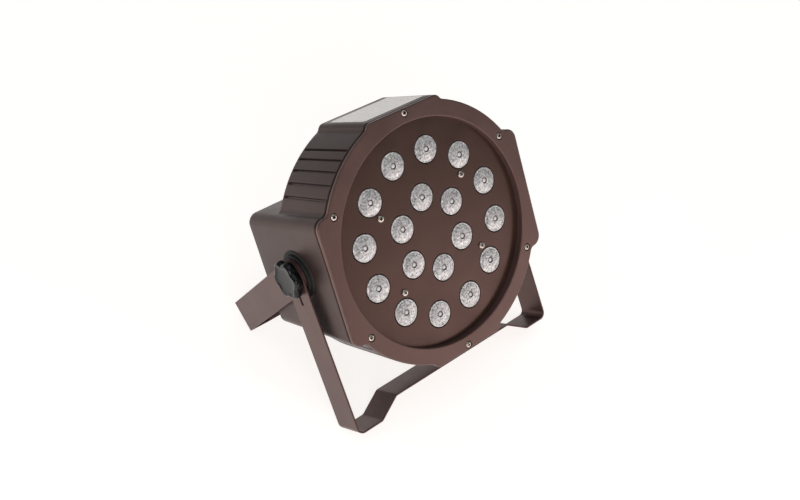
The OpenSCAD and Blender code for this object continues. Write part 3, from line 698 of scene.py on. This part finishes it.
def add_lens(bm, x, y, turn):
    """Moulded lens: beaded front with a pit in the middle, smooth rim, cone behind."""
    def face_z(r):
        return 0.8 - 0.75 * (r / 9.2) ** 2

    steps = 84
    rings = []
    for r, z in ((0.8, 0.55), (1.45, 0.3), (1.6, 0.0), (2.1, 0.1), (2.4, 0.6), (2.6, 0.84),
                 (2.8, 0.78)):
        rings.append([Vector((*polar(r, 360 * i / steps), z)) for i in range(steps)])
    for k in range(16):
        r = 3.0 + 6.0 * k / 15
        ring = []
        for i in range(steps):
            u, v = polar(r, 360 * i / steps + turn)
            z = face_z(r) - 0.12 + bead(u, v, 1.35, 0.3)
            ring.append(Vector((*polar(r, 360 * i / steps), z)))
        rings.append(ring)
    for r, z in ((9.3, -0.08), (9.6, 0.02), (10.05, -0.02), (LENS_R, -0.2), (LENS_R, -1.8),
                 (3.6, -13), (3, -13), (3, -11)):
        rings.append([Vector((*polar(r, 360 * i / steps), z)) for i in range(steps)])
    for ring in rings:
        for v in ring:
            v.x += x
            v.y += y
    # The middle of the pit (material 2) is a painted highlight.
    middle = loft(bm, rings[:3], material=2)
    # The pit wall (material 1) is painted shade.
    loft(bm, rings[2:5], material=1)
    made = loft(bm, rings[4:])
    for ring, z, material in ((middle[0], 0.56, 2), (made[-1], -11, 0)):
        pole = bm.verts.new((x, y, z))
        for i in range(steps):
            face = bm.faces.new((ring[i], ring[(i + 1) % steps], pole))
            face.material_index = material


def lenses():
    # Lens looks: painted sparkle on the body, painted shade on the pit wall, painted highlight in
    # the middle.
    painted_lens_looks = [LENS_SPARKLE_PAINT, LENS_PIT_SHADE, LENS_CENTRE_HIGHLIGHT]
    for index, colour in enumerate(("red", "green", "blue")):
        bm = bmesh.new()
        for k, (x, y, c) in enumerate(lamp_places()):
            if c == index:
                add_lens(bm, x, y, 17 * k)
        piece("lens_set_" + colour, bm, painted_lens_looks, "head", ["lenses_" + colour], sharp=50)


def film_label():
    bm = bmesh.new()
    add_plate(bm, rounded_rect(58, 46, 2), [], 0.02, 0.28, 0.08)
    draft = math.atan(FLAT_HALF * DRAFT)
    at = (HEAD @ Matrix.Translation((0, FLAT_HALF, RIM_Z)) @ Matrix.Rotation(-draft, 4, "X")
          @ Matrix.Translation((0, 0, -29)) @ Matrix.Rotation(math.radians(-90), 4, "X"))
    return piece("film_label", bm, LABEL_FILM, "head", ["rating_label"], at=at)


# ---------- Yokes and knobs ----------

def yoke(name, node, arm_x, reach, lean):
    """Flat strip with its holes, cut across at every station of the bent line and folded there."""
    mid_x, low = arm_x + STRIP_T / 2, -reach + STRIP_T / 2
    ramp = math.atan(JOGGLE / (FOOT_X - RAMP_X))
    lift = STRIP_T / 2 * math.tan(ramp / 2)
    half = [(-mid_x, STRIP_W / 2), (-mid_x, low), (-FOOT_X - lift, low),
            (-RAMP_X - lift, low + JOGGLE)]
    corners = half + [(-x, z) for x, z in half[::-1]]
    radii = [0, BEND_R - STRIP_T / 2, 4, 4, 4, 4, BEND_R - STRIP_T / 2, 0]
    line = [Vector(p) for p in rounded(corners, radii, 10, closed=False)]
    marks = [0.0]
    for a, b in zip(line, line[1:]):
        marks.append(marks[-1] + (b - a).length)
    total = marks[-1]
    outline = rounded_rect(total, STRIP_W, STRIP_W / 2 - 0.01, (total / 2, 0), 20)
    holes = [circle(CLAMP_HOLE_R, 40, (total / 2, 0))]
    for turn in (0, 1):
        flip = lambda x: total - x if turn else x
        holes.append(circle(STUD_R + 0.05, 32, (flip(STRIP_W / 2), 0)))
        middle = STRIP_W / 2 + SLOT_TOP + SLOT_LEN / 2
        holes.append(rounded_rect(SLOT_LEN, SLOT_W, SLOT_W / 2 - 0.01, (flip(middle), 0), 8))
    bm = bmesh.new()
    add_plate(bm, outline, holes, -STRIP_T / 2, STRIP_T / 2, 0.32)
    for mark in marks[1:-1]:
        bmesh.ops.bisect_plane(bm, geom=bm.verts[:] + bm.edges[:] + bm.faces[:],
                               plane_co=(mark, 0, 0), plane_no=(1, 0, 0), dist=1e-4)
    normals = []
    for i in range(len(line)):
        along = (line[min(i + 1, len(line) - 1)] - line[max(i - 1, 0)]).normalized()
        normals.append(Vector((-along.y, along.x)))
    for v in bm.verts:
        i = 0
        while i < len(marks) - 2 and v.co.x > marks[i + 1]:
            i += 1
        share = (v.co.x - marks[i]) / (marks[i + 1] - marks[i])
        spot = line[i].lerp(line[i + 1], share) + normals[i].lerp(normals[i + 1], share) * v.co.z
        v.co = (spot.x, v.co.y, spot.y)
    at = TO_PIVOT @ Matrix.Rotation(math.radians(lean), 4, "X")
    return piece(name, bm, YOKE_COAT, node, [node], at=at, sharp=34)


def knob(side, name, body):
    """Lobed knob with a dished end face inside a raised rim."""
    bm = bmesh.new()
    steps = 120

    def ring(inset, z, lobes=1.0):
        out = []
        for i in range(steps):
            a = 360 * i / steps
            wave = (0.5 - 0.5 * math.cos(math.radians(KNOB_LOBES * a))) ** 1.4
            out.append(Vector((*polar(KNOB_R - 0.05 - inset - 2.1 * wave * lobes, a), z)))
        return out

    rings = [ring(3.0, 0.05, 0.6), ring(1.2, 0.05), ring(0.5, 0.25), ring(0.15, 0.8),
             ring(0, 1.9), ring(0.1, 3.6), ring(0.35, 4.8), ring(0.8, 5.75), ring(1.5, 6.3),
             ring(2.2, 6.45, 0.9), ring(2.9, 6.3, 0.75), ring(3.5, 5.9, 0.6), ring(4.4, 5.6, 0.4),
             ring(6.2, 5.4, 0.15), ring(9.0, 5.25, 0), ring(12.5, 5.2, 0)]
    made = loft(bm, rings)
    for ends, z in ((made[0], 0.05), (made[-1], 5.2)):
        pole = bm.verts.new((0, 0, z))
        for i in range(steps):
            bm.faces.new((ends[i], ends[(i + 1) % steps], pole))
    at = on_pivot(side) @ Matrix.Translation((0, 0, KNOB_X))
    return piece(name, bm, KNOB_GLOSS, body, [body], at=at, sharp=40)


def pivot_stack():
    for side, word in ((-1, "left"), (1, "right")):
        bm = bmesh.new()
        turned(bm, [(3.1, 104.63), (9, 104.63), (9, 105.57), (3.1, 105.57)], steps=56, bevel=0.25)
        piece(word + "_plate_washer", bm, STEEL, word + "_washer", [word + "_washer"],
              at=on_pivot(side))
        knob(side, word + "_lobe_knob", word + "_knob")
    bm = bmesh.new()
    for side in (-1, 1):
        turned(bm, [(3.1, BOSS_X + 0.03), (SPACER_R, BOSS_X + 0.03),
                    (SPACER_R, INNER_ARM_X - 0.12), (3.1, INNER_ARM_X - 0.12)],
               Matrix.Rotation(math.radians(90 * side), 4, "Y"), 72, 0.25)
    piece("spacer_rings", bm, RUBBER, "head", ["pivot_spacers"], at=TO_PIVOT)


housing_shell()
front_bezel()
face_plate()
lenses()
film_label()
spots = [Matrix.Translation((*polar(BEZEL_SCREW_R, a), FRONT_Z - 1.88)) for a in BEZEL_SCREW_ANGLES]
screws("bezel_screw_set", spots, 23, SCREW_HEAD_R, 1.98, "bezel_screws")
spots = [Matrix.Translation((*polar(PLATE_SCREW_R, a), PLATE_FRONT_Z + 0.01))
         for a in PLATE_SCREW_ANGLES]
screws("plate_screw_set", spots, 37, SCREW_HEAD_R, 1.78, "face_plate_screws")
yoke("front_yoke_strip", "front_yoke", INNER_ARM_X + STRIP_T + 0.2, outer_reach, -FRONT_YOKE_LEAN)
yoke("rear_yoke_strip", "rear_yoke", INNER_ARM_X, FOOT_REACH, rear_yoke_lean)
pivot_stack()


# ---------- Rear ----------

def facing_back(x, y, z):
    """Frame at a point of the rear, with z out of the back of the lamp."""
    return Matrix.Translation((x, y, z)) @ Matrix.Rotation(math.pi, 4, "X")


def rear_plate(bm, outline, holes, z0, z1, edge=0.3):
    """Plate whose z0 and z1 are measured from the rear panel's outer face, into the lamp."""
    add_plate(bm, outline, holes, PANEL_Z + z0, PANEL_Z + z1, edge)


def ears(x):
    """Screw places of the control connector at x."""
    return [(x + s * 9.5, DMX_Y + s * 12) for s in (-1, 1)]


def rear_panel():
    bm = bmesh.new()
    holes = [circle(1.7, 20, p) for p in PANEL_BOSSES]
    holes += [circle(FAN_OPEN_R, 96, (FAN_X, 0)),
              rounded_rect(30, 13, 1.5, (DISPLAY_X, DISPLAY_Y))]
    holes += [circle(1.7, 20, p) for p in FAN_CORNERS]
    holes += [circle(3.6, 32, (x, BUTTON_Y)) for x in BUTTON_XS]
    holes += [circle(11.9, 56, (x, DMX_Y)) for x in DMX_XS]
    holes += [rounded_rect(28.4, 54.4, 3, (MAINS_X, (MAINS_Y + FUSE_Y) / 2))]
    add_plate(bm, rounded_rect(PANEL_W, PANEL_H, 5.8), holes, PANEL_Z, PANEL_IN_Z, 0.3)
    piece("rear_cover", bm, BLACK_CAST, "head", ["rear_panel"], sharp=30)
    spots = [facing_back(x, y, PANEL_Z) for x, y in PANEL_BOSSES]
    screws("rear_cover_screws", spots, 31, SCREW_HEAD_R, 1.78, "rear_panel_screws")
    spots = [facing_back(*p, PANEL_Z - 1.5) for x in DMX_XS for p in ears(x)]
    screws("socket_screws", spots, 41, 2.4, 1.48, "connector_screws")
    spots = [facing_back(*p, PANEL_Z - 1.55) for p in FAN_CORNERS]
    screws("fan_screw_set", spots, 29, 2.6, 1.58, "fan_screws")
    spots = [facing_back(TAB_X + s * 4, TAB_Y, PANEL_Z - 1.6) for s in (-1, 1)]
    screws("tab_screws", spots, 50, 2.3, 1.38, "safety_tab_screws", 7.0)


def sockets():
    pins = [polar(3.5, a) for a in (90, 210, 330)]
    x_in, x_out = DMX_XS

    def flange(bm, x, hole_r):
        holes = [circle(hole_r, 56, (x, DMX_Y)), *[circle(1.6, 20, p) for p in ears(x)]]
        rear_plate(bm, rounded_rect(26, 31, 2, (x, DMX_Y)), holes, -1.5, -SKIN)

    bm = bmesh.new()
    flange(bm, x_in, 9.4)
    tube(bm, 9.4, 11.6, PANEL_Z - 1, PANEL_Z + 20, Matrix.Translation((x_in, DMX_Y, 0)), 0.3, 64)
    rear_plate(bm, circle(9.6, 48, (x_in, DMX_Y)), [], 17, 19.9, 0.2)
    rear_plate(bm, rounded_rect(2.2, 2.0, 0.6, (x_in, DMX_Y - 8.8)), [], 1, 18, 0.2)
    piece("control_in_shell", bm, SHELL_NICKEL, "head", ["dmx_in_shell"], sharp=35)
    bm = bmesh.new()
    for px, py in pins:
        lathe(bm, rounded([(0, 5.1), (1.18, 5.1), (1.18, 23), (0, 23)], 0.8, 6, closed=False), 24,
              Matrix.Translation((x_in + px, DMX_Y + py, PANEL_Z)))
    piece("control_in_pins", bm, BRASS, "head", ["dmx_in_pins"])
    bm = bmesh.new()
    flange(bm, x_out, 10.9)
    latch_hole = rounded_rect(6.2, 3.2, 0.4, (x_out, DMX_Y + 9))
    tips = [circle(1.3, 24, (x_out + px, DMX_Y + py)) for px, py in pins]
    rear_plate(bm, circle(11, 56, (x_out, DMX_Y)), [*tips, latch_hole], -1.1, 10)
    rear_plate(bm, circle(11.6, 56, (x_out, DMX_Y)), [], 9.5, 20)
    at = Matrix.Translation((x_out, DMX_Y, 0))
    tube(bm, 6.95, 7.3, PANEL_Z - 1.3, PANEL_Z - 0.5, at, 0.1, 56)
    piece("control_out_shell", bm, SOCKET_BLACK, "head", ["dmx_out_shell"], sharp=35)
    bm = bmesh.new()
    rear_plate(bm, rounded_rect(5.96, 2.96, 0.5, (x_out, DMX_Y + 9)), [], -2.98, 8, 0.5)
    for k in range(3):
        rear_plate(bm, rounded_rect(4.6, 0.4, 0.15, (x_out, DMX_Y + 8.2 + 0.8 * k)), [],
                   -2.99, -2.4, 0.1)
    piece("control_out_latch", bm, SHELL_NICKEL, "dmx_latch", ["dmx_out_latch"])
    mains_inlet()


def mains_inlet():
    mid = (MAINS_X, (MAINS_Y + FUSE_Y) / 2)
    notch = rounded([(-12.25, -8.5), (12.25, -8.5), (12.25, 4.5), (8.5, 8.5), (-8.5, 8.5),
                     (-12.25, 4.5)], 1, 4)
    recess = [(MAINS_X + x, MAINS_Y + y) for x, y in notch]
    drawer = rounded_rect(22.2, 10.2, 0.5, (MAINS_X, FUSE_Y))
    body = rounded_rect(27.9, 53.9, 3, mid)
    bm = bmesh.new()
    rear_plate(bm, rounded_rect(31, 57, 3, mid), [recess, drawer], -1.8, -SKIN, 0.4)
    rear_plate(bm, body, [recess, drawer], -0.5, 15, 0.1)
    rear_plate(bm, body, [drawer], 14.8, 23, 0.1)
    piece("mains_socket", bm, SOCKET_BLACK, "head", ["mains_inlet"], sharp=35)
    bm = bmesh.new()
    for k in (-1, 0, 1):
        rear_plate(bm, rounded_rect(1.96, 4.1, 0.35, (MAINS_X + 7 * k, MAINS_Y + 3 * abs(k))), [],
                   5, 26, 0.35)
    piece("mains_blades", bm, SHELL_NICKEL, "head", ["mains_pins"])
    bm = bmesh.new()
    rear_plate(bm, rounded_rect(24, 12, 1, (MAINS_X, FUSE_Y)),
               [rounded_rect(8, 1.2, 0.3, (MAINS_X, FUSE_Y - 5))], -3.4, -1.9, 0.4)
    for y in (-4.6, 4.2):
        rear_plate(bm, rounded_rect(22, 0.9, 0.2, (MAINS_X, FUSE_Y + y)), [], -2, 20, 0.1)
    for x in (-10.7, 10.7):
        rear_plate(bm, rounded_rect(0.6, 9.6, 0.2, (MAINS_X + x, FUSE_Y)), [], -2, 20, 0.1)
    piece("fuse_tray", bm, SOCKET_BLACK, "fuse_holder", ["fuse_drawer"])
    bm = bmesh.new()
    at = Matrix.Translation((MAINS_X, FUSE_Y, -78)) @ Matrix.Rotation(math.radians(90), 4, "Y")
    turned(bm, [(0, -9), (2.3, -9), (2.3, 9), (0, 9)], at, 40, 0.2)
    for s in (-1, 1):
        turned(bm, [(0, 4.6 * s), (2.6, 4.6 * s), (2.6, 10 * s), (0, 10 * s)], at, 40, 0.3, 1)
    piece("glass_fuse", bm, [FUSE_GLASS, SHELL_NICKEL], "fuse_holder", ["fuse"])


def controls():
    bm = bmesh.new()
    add_plate(bm, rounded_rect(29.8, 12.8, 1.4, (DISPLAY_X, DISPLAY_Y)), [], PANEL_Z - 0.3,
              PANEL_IN_Z + 0.2, 0.3)
    piece("display_lens", bm, WINDOW_RED, "head", ["display_window"])
    for x, word in zip(BUTTON_XS, ("menu", "down", "up", "enter")):
        bm = bmesh.new()
        profile = [(0, 0.98), (2.2, 0.9), (3.38, 0.7), (3.38, -2.1), (4.35, -2.1), (4.35, -3),
                   (1.5, -3), (1.5, -4.85), (0, -4.85)]
        lathe(bm, rounded(profile, 0.35, 3, closed=False), 40, facing_back(x, BUTTON_Y, PANEL_Z))
        piece("key_" + word, bm, BUTTON_GREY, word + "_button", ["button_" + word])


def cooling():
    at = Matrix.Translation((FAN_X, 0, 0))
    bm = bmesh.new()
    for radius in (7, 13, 19, 25):
        lathe(bm, [(radius + 0.69 * math.cos(t), PANEL_Z - 0.82 + 0.69 * math.sin(t))
                   for t in (math.radians(36 * k) for k in range(11))], 96, at)
    for a in (45, 135, 225, 315):
        x, y = polar(25 * math.sqrt(2) - 2.6, a)
        spoke = Matrix.Translation((FAN_X, 0, PANEL_Z - 0.92)) @ Matrix.Rotation(
            math.radians(a), 4, "Z") @ Matrix.Rotation(math.radians(90), 4, "Y")
        reach = math.hypot(x, y)
        turned(bm, [(0, 0), (0.6, 0), (0.6, reach), (0, reach)], spoke, 16, 0.15)
        ear = Matrix.Translation((FAN_X + math.copysign(25, x), math.copysign(25, y), 0))
        tube(bm, 1.8, 3.2, PANEL_Z - 1.5, PANEL_Z - 0.13, ear, 0.3, 32)
    piece("wire_guard", bm, GUARD_STEEL, "head", ["fan_guard"], sharp=45)
    bm = bmesh.new()
    turned(bm, [(0, -87), (12.5, -87), (12.5, -77), (0, -77)], at, 64, 1.2)
    turned(bm, [(0, -77.5), (1.45, -77.5), (1.45, -74.2), (0, -74.2)], at, 24, 0.2)
    for k in range(7):
        rings = []
        for j in range(9):
            radius = 11.6 + 14.4 * j / 8
            pitch = math.radians(40 - 10 * j / 8)
            half, thick = 5.2 + 0.5 * j / 8, 0.75 - 0.35 * j / 8
            ring = []
            for i in range(20):
                t = 2 * math.pi * i / 20
                u, v = half * math.cos(t), thick * math.sin(t) + 0.9 * math.cos(t) ** 2 - 0.45
                y = u * math.cos(pitch) - v * math.sin(pitch)
                z = u * math.sin(pitch) + v * math.cos(pitch)
                a = math.radians(360 / 7 * k) + y / radius
                ring.append(at @ Vector((radius * math.cos(a), radius * math.sin(a),
                                         -82 + z * 0.95)))
            rings.append(ring)
        made = loft(bm, rings)
        bm.faces.new(made[0])
        bm.faces.new(made[-1])
    piece("fan_blades", bm, FAN_BLACK, "fan_rotor", ["fan_rotor"], sharp=40)
    bm = bmesh.new()
    square = rounded_rect(60, 60, 3, (FAN_X, 0))
    holes = [circle(FAN_OPEN_R, 96, (FAN_X, 0))]
    corners = [circle(1.7, 20, p) for p in FAN_CORNERS]
    for z0, z1 in ((PANEL_IN_Z + SKIN, PANEL_IN_Z + 3), (PANEL_IN_Z + 12, PANEL_IN_Z + 15)):
        add_plate(bm, square, holes + corners, z0, z1, 0.3)
    tube(bm, FAN_OPEN_R, 29.6, PANEL_IN_Z + 0.5, PANEL_IN_Z + 14.5, at, 0.3, 96)
    for a in (0, 90, 180, 270):
        arm = at @ Matrix.Rotation(math.radians(a), 4, "Z")
        add_plate(bm, [(11, -1.5), (29, -1.5), (29, 1.5), (11, 1.5)], [], PANEL_IN_Z + 13,
                  PANEL_IN_Z + 14.98, 0.2, arm)
    tube(bm, 1.55, 13, -76, PANEL_IN_Z + 15, at)
    piece("fan_body", bm, FAN_BLACK, "head", ["fan_frame"], sharp=40)


def safety_tab():
    bm = bmesh.new()
    add_plate(bm, rounded_rect(16, 20, 1.5, (TAB_X, TAB_Y)),
              [circle(1.4, 20, (TAB_X + s * 4, TAB_Y)) for s in (-1, 1)], PANEL_Z - 1.6,
              PANEL_Z - SKIN, 0.25)
    loop = [polar(9, a) for a in range(0, 181, 6)] + [(-9, -10.2), (9, -10.2)]
    at = (Matrix.Translation((TAB_X - 1.5, TAB_Y, PANEL_Z - 11)) @ Matrix.Rotation(
        math.radians(90), 4, "Y") @ Matrix.Rotation(math.radians(90), 4, "Z"))
    flip = Matrix.Rotation(math.pi, 4, "Z")
    add_plate(bm, loop, [circle(5, 40)], 0, 3, 0.5, at @ flip)
    piece("wire_tab", bm, STEEL, "head", ["safety_tab"], sharp=35)


rear_panel()
sockets()
controls()
cooling()
safety_tab()
for node_name in ("board_posts", "power_board", "control_board", "display_module", "button_board",
                  "heat_sink", "led_board", "lens_holders", "pivot_nuts", "bezel_gasket",
                  "pivot_studs", "led_harness", "leds_red", "leds_green", "leds_blue"):
    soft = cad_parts[node_name].modifiers.new("soft_edges", "BEVEL")
    soft.width = 0.00015
    soft.segments = 2
    soft.limit_method = "ANGLE"


# ---------- Camera, light and floor ----------

CAMERA_AT = (-0.4378, -0.4153, 0.6606)
CAMERA_AZIMUTH = -46.4
CAMERA_ELEVATION = 43.42
CAMERA_ROLL = 7.57
LENS_MM = 46.54


def aimed(azimuth, elevation):
    """Rotation that looks back at the object from that azimuth and elevation."""
    a, e = math.radians(azimuth), math.radians(elevation)
    back = Vector((math.sin(a) * math.cos(e), -math.cos(a) * math.cos(e), math.sin(e)))
    return back, (-back).to_track_quat("-Z", "Y")


camera = bpy.data.objects.new("camera", bpy.data.cameras.new("camera"))
scene.collection.objects.link(camera)
camera.data.lens = LENS_MM
camera.data.sensor_width = 36
camera.data.clip_start = 0.01
camera.rotation_mode = "QUATERNION"
camera.location = CAMERA_AT
roll = Matrix.Rotation(math.radians(CAMERA_ROLL), 3, "Z").to_quaternion()
camera.rotation_quaternion = aimed(CAMERA_AZIMUTH, CAMERA_ELEVATION)[1] @ roll
scene.camera = camera
scene.view_settings.view_transform = "Standard"


def soft_light(name, azimuth, elevation, distance, size, power, colour=(1, 1, 1)):
    data = bpy.data.lights.new(name, "AREA")
    data.shape = "DISK"
    data.size = size
    data.energy = power
    data.color = colour
    light = bpy.data.objects.new(name, data)
    scene.collection.objects.link(light)
    back, turn = aimed(azimuth, elevation)
    light.rotation_mode = "QUATERNION"
    light.location = Vector((0, 0, 0.1)) + back * distance
    light.rotation_quaternion = turn


soft_light("front_fill", -32, 26, 2.2, 1.4, 13, (1, 0.9, 0.86))
soft_light("low_front", 32, -1, 1.8, 0.8, 3.4, (1, 0.88, 0.84))
soft_light("top_wash", 0, 88, 2.2, 2.4, 9)

world = bpy.data.worlds.new("studio")
scene.world = world
world.use_nodes = True
sky = world.node_tree.nodes["Background"]
sky.inputs["Color"].default_value = (0.84, 0.97, 1.0, 1)
sky.inputs["Strength"].default_value = 0.22

bm = bmesh.new()
loft(bm, [[Vector((*p, 0)) for p in circle(r, 96)] for r in (0.02, 0.5, 1.5, 6.0)])
bmesh.ops.contextual_create(bm, geom=[e for e in bm.edges if e.is_boundary
                                      and e.verts[0].co.length < 0.1])
floor_mesh = bpy.data.meshes.new("floor")
bm.to_mesh(floor_mesh)
bm.free()
floor = bpy.data.objects.new("floor", floor_mesh)
scene.collection.objects.link(floor)
# The floor glows, brighter toward the left front: painted light that washes out its own shadows and
# lights the par can from below.
floor_mesh.materials.append(finish("glowing_floor_paper", (0.6, 0.58, 0.56), 0.8, mottle=0.02,
                                   mottle_size=200))
nodes, links = floor_mesh.materials[0].node_tree.nodes, floor_mesh.materials[0].node_tree.links
glow = nodes["Principled BSDF"]
glow.inputs["Emission Color"].default_value = (1.0, 0.965, 0.94, 1)
place, toward = nodes.new("ShaderNodeTexCoord"), nodes.new("ShaderNodeVectorMath")
toward.operation = "DOT_PRODUCT"
toward.inputs[1].default_value = (0.9, 0.4, 0)
glow_fade = nodes.new("ShaderNodeMapRange")
links.new(place.outputs["Object"], toward.inputs[0])
links.new(toward.outputs["Value"], glow_fade.inputs["Value"])
for key, value in (("From Min", -0.7), ("From Max", -0.1), ("To Min", 2.1), ("To Max", 0.84)):
    glow_fade.inputs[key].default_value = value
links.new(glow_fade.outputs["Result"], glow.inputs["Emission Strength"])
